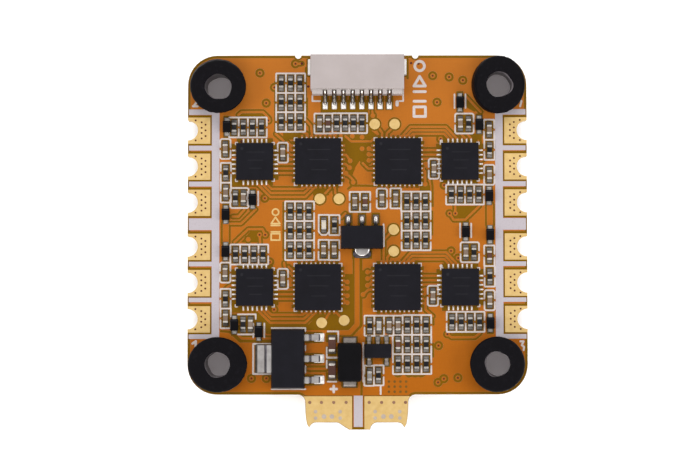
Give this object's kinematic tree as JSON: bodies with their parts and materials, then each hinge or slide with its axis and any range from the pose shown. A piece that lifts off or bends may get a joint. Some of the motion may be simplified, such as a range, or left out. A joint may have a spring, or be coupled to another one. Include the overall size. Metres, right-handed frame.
{
  "type": "four-in-one electronic speed controller board",
  "caption": "Square four-motor speed controller board for a small aircraft, on rubber grommets, with edge motor pads, a battery tab, a plug socket, controller chips and power transistors.",
  "frame": {"origin": "centre of the four grommets, on the plane of their lower faces", "axes": "+Z out of the controller side of the board, +Y towards the plug socket, -Y towards the battery tab, +X along the battery edge"},
  "size_m": [0.037, 0.0408, 0.0068],
  "materials": {
    "solder_mask": "semi-gloss amber solder mask over glass-epoxy laminate",
    "gold_plate": "immersion gold over copper",
    "rubber": "matt soft silicone",
    "socket_plastic": "natural nylon, slightly translucent",
    "tinned_metal": "bright tin plate and solder",
    "chip_plastic": "matt moulding compound",
    "resistor_glaze": "black glaze over alumina",
    "tan_ceramic": "plain ceramic",
    "brown_ceramic": "plain ceramic",
    "light_lens": "clear to milky epoxy"
  },
  "bodies": {
    "root": {"circuit_board": "solder_mask", "test_pads": "gold_plate", "battery_pad_positive": "gold_plate", "battery_pad_negative": "gold_plate", "motor_1_pads": "gold_plate", "motor_2_pads": "gold_plate", "motor_3_pads": "gold_plate", "motor_4_pads": "gold_plate", "grommet_1": "rubber", "grommet_2": "rubber", "grommet_3": "rubber", "grommet_4": "rubber", "socket_housing": "socket_plastic", "socket_contacts": "tinned_metal", "socket_solder_tabs": "tinned_metal", "motor_controller_1": "chip_plastic", "motor_controller_2": "chip_plastic", "motor_controller_3": "chip_plastic", "motor_controller_4": "chip_plastic", "motor_controller_terminals": "tinned_metal", "gate_driver_1": "chip_plastic", "gate_driver_2": "chip_plastic", "gate_driver_3": "chip_plastic", "gate_driver_4": "chip_plastic", "gate_driver_terminals": "tinned_metal", "main_regulator_body": "chip_plastic", "main_regulator_leads": "tinned_metal", "logic_regulator_body": "chip_plastic", "logic_regulator_leads": "tinned_metal", "power_diode_body": "chip_plastic", "power_diode_terminals": "tinned_metal", "five_lead_chip_body": "chip_plastic", "five_lead_chip_leads": "tinned_metal", "status_light_body": "light_lens", "status_light_terminals": "tinned_metal", "small_diode_bodies": "chip_plastic", "small_diode_leads": "tinned_metal", "resistor_bodies": "resistor_glaze", "resistor_terminals": "tinned_metal", "capacitor_bodies": "tan_ceramic", "capacitor_terminals": "tinned_metal", "filter_capacitor_bodies": "brown_ceramic", "filter_capacitor_terminals": "tinned_metal", "mosfets_1": "chip_plastic", "mosfets_2": "chip_plastic", "mosfets_3": "chip_plastic", "mosfets_4": "chip_plastic", "mosfet_terminals": "tinned_metal", "bulk_capacitor_bodies": "brown_ceramic", "bulk_capacitor_terminals": "tinned_metal", "current_shunt_body": "resistor_glaze", "current_shunt_terminals": "tinned_metal", "current_amplifier_body": "chip_plastic", "current_amplifier_leads": "tinned_metal"}
  },
  "joints": []
}
